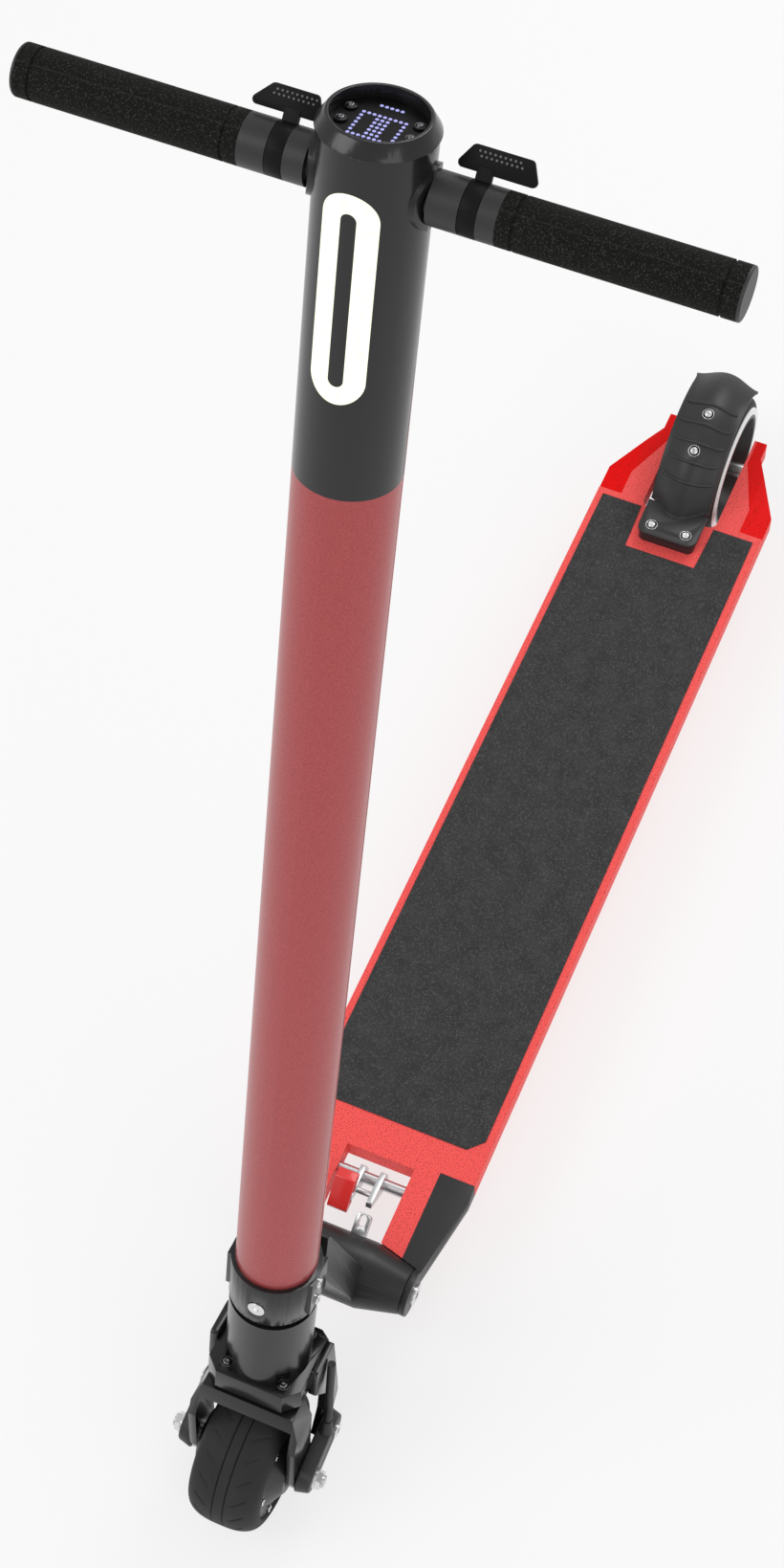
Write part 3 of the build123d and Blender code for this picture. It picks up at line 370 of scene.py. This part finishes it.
# one finish for each material slot of the record
finishes = {
    "deck_red": deckPaint(),
    "stem_red": stemPaint(),
    "pedal_red": plainPaint("pedalPaint", rgb(0.80, 0.03, 0.028), 0.35, coat=0.3),
    "gloss_black": plainPaint("glossBlack", rgb(0.010, 0.010, 0.011), 0.22, coat=0.1, grain=0.004, gloss=0.4),
    "dark_plastic": plainPaint("grainedPlastic", rgb(0.026, 0.026, 0.027), 0.42, grain=0.06, scale=900.0,
                               gloss=0.4),
    "hub_grey": plainPaint("castGrey", rgb(0.018, 0.018, 0.019), 0.38, grain=0.04, gloss=0.4),
    "steel": brushedSteel("brushedSteel", rgb(0.62, 0.62, 0.63), 0.28),
    "bright_screw": brushedSteel("brightScrew", rgb(0.72, 0.72, 0.72), 0.16),
    "black_screw": brushedSteel("blackScrew", rgb(0.20, 0.20, 0.21), 0.22),
    "paddle_black": plainPaint("paddleBlack", rgb(0.006, 0.006, 0.006), 0.5, grain=0.004, gloss=0.12),
    "tyre_rubber": tyreRubber(),
    "white_rim": rimPaint(),
    "black_spoke": plainPaint("blackSpoke", rgb(0.012, 0.012, 0.013), 0.45),
    "grip_foam": gripFoam(),
    "end_plug": plainPaint("endPlug", rgb(0.02, 0.02, 0.021), 0.5),
    "grip_tape_grey": tapeGrit(),
    "headlight": glowing("headlightGlow", rgb(1.0, 1.0, 0.84), 0.95, rgb(1.0, 0.98, 0.70)),
    "display_black": plainPaint("displayBlack", rgb(0.003, 0.003, 0.0035), 0.4, grain=0.004, gloss=0.15),
    "battery_wrap": batteryWrap(),
    "holder_plastic": plainPaint("holderPlastic", rgb(0.2, 0.2, 0.2), 0.5),
    "heat_sink": brushedSteel("heatSink", rgb(0.6, 0.6, 0.62), 0.4),
    "winding": copperWinding(),
    "cable_black": plainPaint("cableSheath", rgb(0.015, 0.015, 0.015), 0.5, grain=0.04),
}
ledGlow = glowing("ledGlow", rgb(0.42, 0.42, 0.86), 0.9, rgb(0.36, 0.36, 0.78))
dotPaint = plainPaint("dotPaint", rgb(0.16, 0.16, 0.165), 0.5)

for name, node in nodes.items():
    node.data.materials.clear()
    node.data.materials.append(finishes[slotOf[name]].material)
print("materials made", len(finishes) + 2)


def newMesh(name, points, edges, faces):
    mesh = bpy.data.meshes.new(name)
    mesh.from_pydata([tuple(point) for point in points], edges, faces)
    return mesh


def addPiece(name, mesh, body, replaced=()):
    mesh.polygons.foreach_set("use_smooth", [True] * len(mesh.polygons))
    piece = bpy.data.objects.new(name, mesh)
    bpy.context.scene.collection.objects.link(piece)
    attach(piece, body)
    if replaced:
        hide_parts(*replaced)
    return piece


def addShell(name, points, faces, body, slot, replaced):
    mesh = newMesh(name, points, [], faces)
    mesh.materials.append(finishes[slot].material)
    return addPiece(name, mesh, body, replaced)


def merged(mesh, apart):
    # a copy to work on, with points nearer than that joined
    shape = bmesh.new()
    shape.from_mesh(mesh)
    bmesh.ops.remove_doubles(shape, verts=shape.verts, dist=apart)
    return shape


def outward(mesh):
    shape = merged(mesh, 1e-6)
    bmesh.ops.recalc_face_normals(shape, faces=shape.faces)
    shape.to_mesh(mesh)
    shape.free()


def bevelled(piece, width, angle, harden=False):
    bevel = piece.modifiers.new("bevel", "BEVEL")
    bevel.width = width * mm
    bevel.segments = 2
    bevel.limit_method = "ANGLE"
    bevel.angle_limit = radians(angle)
    bevel.harden_normals = harden


# how far each CAD node's sharp edges are rounded, in millimetres
softWidths = {
    "hub_housing": 1.5, "collar": 1.0, "fork_crown": 1.2, "fork_front_plate": 1.2, "fork_rear_legs": 1.2,
    "axle_covers": 2.0, "arm_cover_left": 1.2, "arm_cover_right": 1.2, "fender_block": 1.0,
    "fender_base": 0.8, "release_pedal": 0.6, "latch_links": 0.5, "catch_plate": 0.5,
    "brake_paddle": 0.3, "throttle_paddle": 0.3, "cap_ring": 0.5, "motor_covers": 0.8,
}


def softened(node, width):
    # a merged copy of the node, with its flat faces joined up before the bevel
    mesh = nodes[node].data.copy()
    mesh.name = node + "Soft"
    shape = merged(mesh, 2e-6)
    bmesh.ops.dissolve_limit(shape, angle_limit=radians(0.8), verts=shape.verts, edges=shape.edges)
    shape.to_mesh(mesh)
    shape.free()
    piece = addPiece(node + "Soft", mesh, nodes[node]["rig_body"], (node,))
    bevelled(piece, width, 28.0, harden=True)


for node, width in softWidths.items():
    softened(node, width)
print("edges rounded", len(softWidths))


def newTree(name, inputs):
    tree = bpy.data.node_groups.new(name, "GeometryNodeTree")
    for label, kind in inputs:
        tree.interface.new_socket(label, in_out="INPUT", socket_type="NodeSocket" + kind)
    tree.interface.new_socket("Result", in_out="OUTPUT", socket_type="NodeSocketGeometry")
    return tree, tree.nodes.new


def joined(tree, pairs):
    for first, second in pairs:
        tree.links.new(first, second)
    return tree


def scatterTree():
    # the same shape on each point, turned to face the point's own way
    inputs = (("Spots", "Geometry"), ("Shape", "Object"), ("Size", "Float"), ("Finish", "Material"))
    tree, make = newTree("scatter", inputs)
    source, target = make("NodeGroupInput"), make("NodeGroupOutput")
    info, facing = make("GeometryNodeObjectInfo"), make("GeometryNodeInputNamedAttribute")
    facing.data_type = "FLOAT_VECTOR"
    facing.inputs["Name"].default_value = "facing"
    turn, place = make("FunctionNodeAlignRotationToVector"), make("GeometryNodeInstanceOnPoints")
    turn.axis = "Z"
    real, finish = make("GeometryNodeRealizeInstances"), make("GeometryNodeSetMaterial")
    return joined(tree, (
        (source.outputs["Spots"], place.inputs["Points"]),
        (source.outputs["Shape"], info.inputs["Object"]),
        (info.outputs["Geometry"], place.inputs["Instance"]),
        (facing.outputs["Attribute"], turn.inputs["Vector"]),
        (turn.outputs["Rotation"], place.inputs["Rotation"]),
        (source.outputs["Size"], place.inputs["Scale"]),
        (place.outputs["Instances"], real.inputs["Geometry"]),
        (real.outputs["Geometry"], finish.inputs["Geometry"]),
        (source.outputs["Finish"], finish.inputs["Material"]),
        (finish.outputs["Geometry"], target.inputs["Result"]),
    ))


def ribTree():
    # a round bar swept along lines, thinner where the points' taper is smaller
    inputs = (("Lines", "Geometry"), ("Radius", "Float"), ("Sides", "Int"), ("Finish", "Material"))
    tree, make = newTree("rib", inputs)
    source, target = make("NodeGroupInput"), make("NodeGroupOutput")
    toCurve, circle = make("GeometryNodeMeshToCurve"), make("GeometryNodeCurvePrimitiveCircle")
    thin, taper = make("GeometryNodeSetCurveRadius"), make("GeometryNodeInputNamedAttribute")
    taper.inputs["Name"].default_value = "taper"
    sweep = make("GeometryNodeCurveToMesh")
    sweep.inputs["Fill Caps"].default_value = True
    real, finish = make("GeometryNodeRealizeInstances"), make("GeometryNodeSetMaterial")
    return joined(tree, (
        (source.outputs["Lines"], toCurve.inputs["Mesh"]),
        (toCurve.outputs["Curve"], thin.inputs["Curve"]),
        (taper.outputs["Attribute"], thin.inputs["Radius"]),
        (source.outputs["Radius"], circle.inputs["Radius"]),
        (source.outputs["Sides"], circle.inputs["Resolution"]),
        (thin.outputs["Curve"], sweep.inputs["Curve"]),
        (circle.outputs["Curve"], sweep.inputs["Profile Curve"]),
        (sweep.outputs["Mesh"], real.inputs["Geometry"]),
        (real.outputs["Geometry"], finish.inputs["Geometry"]),
        (source.outputs["Finish"], finish.inputs["Material"]),
        (finish.outputs["Geometry"], target.inputs["Result"]),
    ))


def grown(name, mesh, tree, values, body, replaced=()):
    # runs a tree on a mesh and keeps the result as a plain mesh
    holder = bpy.data.objects.new(name + "Holder", mesh)
    bpy.context.scene.collection.objects.link(holder)
    modifier = holder.modifiers.new("tree", "NODES")
    modifier.node_group = tree
    for item in tree.interface.items_tree:
        if item.in_out == "INPUT" and item.name in values:
            modifier[item.identifier] = values[item.name]
    graph = bpy.context.evaluated_depsgraph_get()
    result = bpy.data.meshes.new_from_object(holder.evaluated_get(graph))
    bpy.data.objects.remove(holder)
    result.name = name
    addPiece(name, result, body, replaced)


def scattered(name, spots, shape, finish, body, replaced=()):
    # each spot is a point and the way that the shape's top faces there
    mesh = newMesh(name, [point for point, way in spots], [], [])
    facing = mesh.attributes.new("facing", "FLOAT_VECTOR", "POINT")
    facing.data.foreach_set("vector", [value for point, way in spots for value in way])
    values = {"Shape": shape, "Size": 1.0, "Finish": finish.material}
    grown(name, mesh, scatter, values, body, replaced)


def ringStack(name, rings, count=48):
    # closed turned shape; each ring is a radius, a height and how far its outline is a hexagon
    points, faces = [], []
    step = pi / 3
    for radius, height, share in rings:
        for n in range(count):
            angle = 2 * pi * n / count
            flat = cos(step / 2) / cos((angle % step) - step / 2)
            reach = radius * (1 - share + share * flat)
            points.append((reach * cos(angle), reach * sin(angle), height))
    for ring in range(len(rings) - 1):
        low, high = ring * count, (ring + 1) * count
        for n in range(count):
            m = (n + 1) % count
            faces.append((low + n, low + m, high + m, high + n))
    faces.append(tuple(reversed(range(count))))
    faces.append(tuple(range((len(rings) - 1) * count, len(rings) * count)))
    mesh = newMesh(name, points, [], faces)
    outward(mesh)
    return bpy.data.objects.new(name, mesh)


scatter, ribs = scatterTree(), ribTree()
print("trees built")

# screws: a thin bright rim, a black disc inside it as painted shade of the recess, and a domed head with a
# hexagon socket
screwLook = {
    # shares of the screw's radius
    "rim": 0.9, "head": 0.66, "socket": 0.3, "socketTop": 0.336,
    # shares of its height
    "rimHigh": 0.12, "domeFrom": 0.35, "socketEdge": 0.9, "socketFloor": 0.1,
    # millimetres
    "sunk": 0.3, "shadeDiscSunk": 0.1, "shadeDiscHigh": 0.04,
    "domeSteps": 5,
}


def screwShape(name, radius, height):
    look = screwLook
    rim, head, socket, socketTop = (radius * look[key] for key in ("rim", "head", "socket", "socketTop"))
    low, rise, dome = -look["sunk"] * mm, height * look["rimHigh"], look["domeFrom"]
    floor, chamfer = low * 0.6, rise * 0.6
    rings = [(radius, low, 0), (radius, chamfer, 0), ((radius + rim) / 2, rise, 0), (rim, chamfer, 0)]
    rings += [(rim, floor, 0), (head, floor, 0), (head, height * dome, 0)]
    for n in range(1, look["domeSteps"]):
        turn = n / look["domeSteps"] * pi / 2
        rings.append((socket + (head - socket) * cos(turn), height * (dome + (1 - dome) * sin(turn)), 0))
    rings += [(socketTop, height, 1), (socket, height * look["socketEdge"], 1)]
    rings += [(socket, height * look["socketFloor"], 1)]
    return ringStack(name, rings)


def screws(name, node, look, spots):
    radius, height = look["radius"] * mm, look["height"] * mm
    body, slot = nodes[node]["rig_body"], slotOf[node]
    scattered(name, spots, screwShape(name + "Shape", radius, height), finishes[slot], body, (node,))
    inside = radius * screwLook["rim"]
    low, high = -screwLook["shadeDiscSunk"] * mm, screwLook["shadeDiscHigh"] * mm
    # a thin black disc inside the rim is painted shade of the screw's recess
    shadeDisc = ringStack(name + "Seat", [(inside, low, 0), (inside, high, 0)])
    scattered(name + "Seats", spots, shadeDisc, finishes["display_black"], body)


def stemSpots(look):
    # a screw at each corner of a rectangle square to the stem
    return [(stemPoint(look["up"], forward, left), stemAxis)
            for forward in look["forwards"] for left in (-look["left"], look["left"])]


crownBoltLook = {"radius": 4.6, "height": 1.2, "up": 108.2, "forwards": (-24.5, 24.5), "left": 23.2}
baseScrewLook = {"radius": 5.4, "height": 2.2}
screws("crownBoltHeads", "crown_bolts", crownBoltLook, stemSpots(crownBoltLook))
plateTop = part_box("fender_base")[1][2]
baseLow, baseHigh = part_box("fender_base_screws")
baseX = (baseLow[0] + baseHigh[0]) / 2
baseY = baseHigh[1] - baseScrewLook["radius"] * mm
baseSpots = [(Vector((baseX, y, plateTop)), Vector((0, 0, 1))) for y in (-baseY, baseY)]
screws("fenderBaseScrews", "fender_base_screws", baseScrewLook, baseSpots)
print("screws placed")

# tyres: the front one has two grooves round it and slanted sipes, the rear one is smooth
frontTyreLook = {
    "bead": 15.5, "crown": 2.8, "around": 720,
    "grooveAt": 4.5, "grooveWide": 1.3, "grooveDeep": 1.3, "grooveRows": (0.6, 0.66, 0.9),
    "sipes": 20, "sipeDeep": 1.0, "sipeWide": 0.07, "slant": -0.6, "sipeFrom": 9.0, "sipeTo": 21.5,
}
rearTyreLook = {"bead": 10.0, "crown": 4.0, "around": 180}


def treadDepth(y, angle, look):
    if "sipes" not in look:
        return 0.0
    deep = 0.0
    if abs(abs(y) - look["grooveAt"]) < look["grooveWide"] / 2:
        deep = look["grooveDeep"]
    lane = (abs(y) - look["sipeFrom"]) / (look["sipeTo"] - look["sipeFrom"])
    if 0 < lane < 1:
        shift = look["slant"] * lane + (0.5 if y > 0 else 0.0)
        phase = (angle * look["sipes"] / (2 * pi) + shift) % 1.0
        if min(phase, 1 - phase) < look["sipeWide"] / 2:
            deep = look["sipeDeep"] * min(1.0, 5 * lane, 5 * (1 - lane))
    return deep


def rowPlaces(half, look):
    # closer rows towards the shoulders and at the grooves' edges
    steps = 22
    places = [half * sin(pi / 2 * n / steps) for n in range(steps + 1)]
    places += [look["grooveAt"] + side * step for side in (-1, 1) for step in look.get("grooveRows", ())]
    places = sorted(set(round(place, 3) for place in places if place <= half))
    return [-place for place in reversed(places) if place > 0] + places


def turnedTyre(name, centre, body, node, look):
    # a crowned box section down to the bead, turned about the axle
    size = boxSize(node)
    half, radius = size.y / 2, size.z / 2
    bead, around = radius - look["bead"] * mm, look["around"]
    beadReach, beadHalf = bead - 0.5 * mm, half * 0.8
    rows = rowPlaces(half / mm, look)
    across = len(rows)
    points, faces = [], []
    for i in range(around):
        angle = 2 * pi * i / around
        for y in rows:
            share = min(1.0, abs(y) * mm / half)
            rise = bead + (radius - bead) * (1 - share ** look["crown"]) ** (1 / 2.2)
            reach = rise - treadDepth(y, angle, look) * mm
            points.append(centre + Vector((reach * cos(angle), y * mm, reach * sin(angle))))
    inner = len(points)
    for i in range(around):
        angle = 2 * pi * i / around
        for y in (-beadHalf, beadHalf):
            points.append(centre + Vector((beadReach * cos(angle), y, beadReach * sin(angle))))
    for i in range(around):
        here, there = i * across, (i + 1) % around * across
        low, lowNext = inner + i * 2, inner + (i + 1) % around * 2
        faces.extend((here + k, here + k + 1, there + k + 1, there + k) for k in range(across - 1))
        faces.append((here, there, lowNext, low))
        faces.append((low, lowNext, lowNext + 1, low + 1))
        faces.append((low + 1, lowNext + 1, there + across - 1, here + across - 1))
    piece = addShell(name, points, faces, body, "tyre_rubber", (node,))
    outward(piece.data)


turnedTyre("frontTyre", frontAxle, "front_wheel", "front_tyre", frontTyreLook)
turnedTyre("rearTyre", rearAxle, "rear_wheel", "rear_tyre", rearTyreLook)
print("tyres turned")

# fender: angles are degrees about the rear axle, from straight ahead
fenderLook = {
    "low": 13.5, "high": 121.5, "half": 28.0, "offTyre": 9.5, "wall": 2.4, "edge": 0.7, "offPlate": 0.4,
    "crown": 8.5, "crownFront": 7.5, "flare": 2.0, "flareFrom": 0.9, "around": 96, "across": 49,
    "ribAngles": (37, 49, 61, 73, 87), "ribRadius": 1.6, "ribSides": 10, "ribSteps": 40, "ribReach": 0.84,
    "ribDrift": 1.6, "ribSunk": 0.1,
}
fenderScrewLook = {"radius": 5.4, "height": 2.2, "angles": (56, 80), "sunk": 0.1}
fenderSide = boxSize("rear_tyre").z / 2 + fenderLook["offTyre"] * mm


def fenderPoint(degree, across):
    # across runs from -1 to 1, over an arch that is full at its middle and thin at its sides
    look = fenderLook
    share = (degree - look["low"]) / (look["high"] - look["low"])
    rise = (look["crown"] + look["crownFront"] * (1 - share) ** 3) * mm
    late = max(0.0, (share - look["flareFrom"]) / (1 - look["flareFrom"]))
    half = look["half"] * mm + look["flare"] * mm * late ** 2 * across ** 2
    reach = fenderSide + rise * (0.5 + 0.5 * cos(pi * across)) ** (0.62 + 0.2 * abs(across))
    angle = radians(degree)
    return rearAxle + Vector((reach * cos(angle), half * across, reach * sin(angle)))


def outOf(degree):
    # the way out of the fender, square to its middle line
    return (fenderPoint(degree, 0) - rearAxle).normalized()


def makeFender():
    look = fenderLook
    around, across = look["around"], look["across"]
    points, faces = [], []
    for i in range(around):
        degree = look["low"] + (look["high"] - look["low"]) * i / (around - 1)
        for k in range(across):
            point = fenderPoint(degree, sin((-1 + 2 * k / (across - 1)) * pi / 2))
            point.z = max(point.z, plateTop + look["offPlate"] * mm)
            points.append(point)
    for i in range(around - 1):
        for k in range(across - 1):
            a = i * across + k
            faces.append((a, a + 1, a + across + 1, a + across))
    piece = addShell("fenderShell", points, faces, "fender", "dark_plastic", ("fender",))
    wall = piece.modifiers.new("wall", "SOLIDIFY")
    wall.thickness = look["wall"] * mm
    wall.offset = -1
    bevelled(piece, look["edge"], 50)


def fenderRibs():
    look = fenderLook
    points, edges, tapers = [], [], []
    steps = look["ribSteps"]
    for degree in look["ribAngles"]:
        start = len(points)
        for n in range(steps + 1):
            u = look["ribReach"] * (-1 + 2 * n / steps)
            side = abs(u) / look["ribReach"]
            drift = look["ribDrift"] * side ** 6
            points.append(fenderPoint(degree + drift, u) - outOf(degree) * look["ribSunk"] * mm)
            tapers.append(min(1.0, 0.25 + 6 * (1 - side)))
        edges.extend((start + n, start + n + 1) for n in range(steps))
    mesh = newMesh("fenderRibs", points, edges, [])
    mesh.attributes.new("taper", "FLOAT", "POINT").data.foreach_set("value", tapers)
    finish = finishes["dark_plastic"].material
    values = {"Radius": look["ribRadius"] * mm, "Sides": look["ribSides"], "Finish": finish}
    grown("fenderRibs", mesh, ribs, values, "fender")


makeFender()
fenderRibs()
fenderSpots = [(fenderPoint(degree, 0) - outOf(degree) * fenderScrewLook["sunk"] * mm, outOf(degree))
               for degree in fenderScrewLook["angles"]]
screws("fenderScrews", "fender_screws", fenderScrewLook, fenderSpots)
print("fender made")

# display: dots of light in rows and columns, and a bar of dots below them
displayLook = {
    "up": 1166.55, "columns": 9, "rows": 7, "filled": (3, 4, 5), "columnPitch": 2.74, "rowPitch": 3.33,
    "firstRow": -7.5, "shift": 0.1, "barDots": 5, "barPitch": 2.7, "barRow": -16.3,
    "dotRadius": 1.0, "dotHigh": 0.25,
}
capScrewLook = {"radius": 2.6, "height": 0.8, "up": 1167.7, "forwards": (-8.2, 3.8), "left": 18.0}


def dotShape(name, radius, height):
    rings = [(radius, 0, 0), (radius * 0.92, height * 0.6, 0), (radius * 0.6, height, 0)]
    return ringStack(name, [(wide * mm, high * mm, share) for wide, high, share in rings], 14)


def makeDisplay():
    look = displayLook
    lastRow, lastColumn = look["rows"] - 1, look["columns"] - 1
    places = []
    for row in range(look["rows"]):
        for column in range(look["columns"]):
            edge = row in (0, lastRow) or column in (0, lastColumn)
            if edge or column in look["filled"]:
                left = (column - lastColumn / 2) * look["columnPitch"]
                places.append((look["firstRow"] + row * look["rowPitch"], left))
    for n in range(look["barDots"]):
        places.append((look["barRow"], (n - (look["barDots"] - 1) / 2) * look["barPitch"]))
    spots = [(stemPoint(look["up"], forward, left + look["shift"]), stemAxis) for forward, left in places]
    shape = dotShape("ledShape", look["dotRadius"], look["dotHigh"])
    scattered("displayDots", spots, shape, ledGlow, "steering")


makeDisplay()
screws("capScrewHeads", "cap_screws", capScrewLook, stemSpots(capScrewLook))
print("display lit")

# thumb paddles: two rows of dots near the top edge, on the face that meets the thumb
paddleLook = {
    "tilt": 47.0, "firstRow": 27.3, "rowGap": 2.3, "pitch": 2.6, "count": 9, "offMiddle": 1.1,
    "dotRadius": 0.65, "dotHigh": 0.35,
}


def paddleDots(name, body, start, side):
    look = paddleLook
    tilt = radians(look["tilt"])
    upPaddle, outOfFace = Vector((-cos(tilt), 0, sin(tilt))), Vector((sin(tilt), 0, cos(tilt)))
    spots = []
    for row in range(2):
        for n in range(look["count"]):
            y = side * (start + (n + 0.5 * row) * look["pitch"]) * mm
            reach = (look["firstRow"] - row * look["rowGap"]) * mm
            point = barCentre + upPaddle * reach + outOfFace * look["offMiddle"] * mm + leftward * y
            spots.append((point, outOfFace))
    shape = dotShape(name + "Shape", look["dotRadius"], look["dotHigh"])
    scattered(name, spots, shape, dotPaint, body)


paddleDots("brakeDots", "brake_lever", 48.0, 1)
paddleDots("throttleDots", "throttle_lever", 37.0, -1)
print("paddles dotted")

# the floor's half side, colour and glow, the world's strength, and each light's place, power and width
studioLook = {
    "half": 12.0, "floor": rgb(0.24, 0.24, 0.24), "glow": 0.71, "world": 0.66, "aim": (0, 0, 0.5),
    "lights": {
        "keyLight": ((1.6, -1.8, 2.8), 26.0, 1.6),
        "fillLight": ((1.8, 2.2, 2.2), 16.0, 1.8),
        "backLight": ((-2.4, 0.4, 2.6), 30.0, 1.4),
    },
}


def makeFloor():
    half = studioLook["half"]
    corners = [(-half, -half, 0), (half, -half, 0), (half, half, 0), (-half, half, 0)]
    mesh = newMesh("floor", corners, [], [(0, 1, 2, 3)])
    shade = Shade("floorPaper")
    shade.set(Base_Color=studioLook["floor"], Roughness=0.95, Specular_IOR_Level=0.0)
    shade.set(Emission_Color=rgb(1.0, 1.0, 1.0), Emission_Strength=studioLook["glow"])
    mesh.materials.append(shade.material)
    floor = bpy.data.objects.new("floor", mesh)
    bpy.context.scene.collection.objects.link(floor)


def makeLights():
    world = bpy.data.worlds.new("studio")
    world.use_nodes = True
    sky = world.node_tree.nodes["Background"].inputs
    sky["Color"].default_value = rgb(1.0, 1.0, 1.0)
    sky["Strength"].default_value = studioLook["world"]
    bpy.context.scene.world = world
    for name, (place, power, wide) in studioLook["lights"].items():
        data = bpy.data.lights.new(name, "AREA")
        data.energy = power
        data.size = wide
        light = bpy.data.objects.new(name, data)
        light.location = place
        aim = Vector(studioLook["aim"]) - Vector(place)
        light.rotation_euler = aim.to_track_quat("-Z", "Y").to_euler()
        bpy.context.scene.collection.objects.link(light)
    bpy.context.scene.view_settings.view_transform = "Standard"


makeFloor()
makeLights()
print("studio lit")
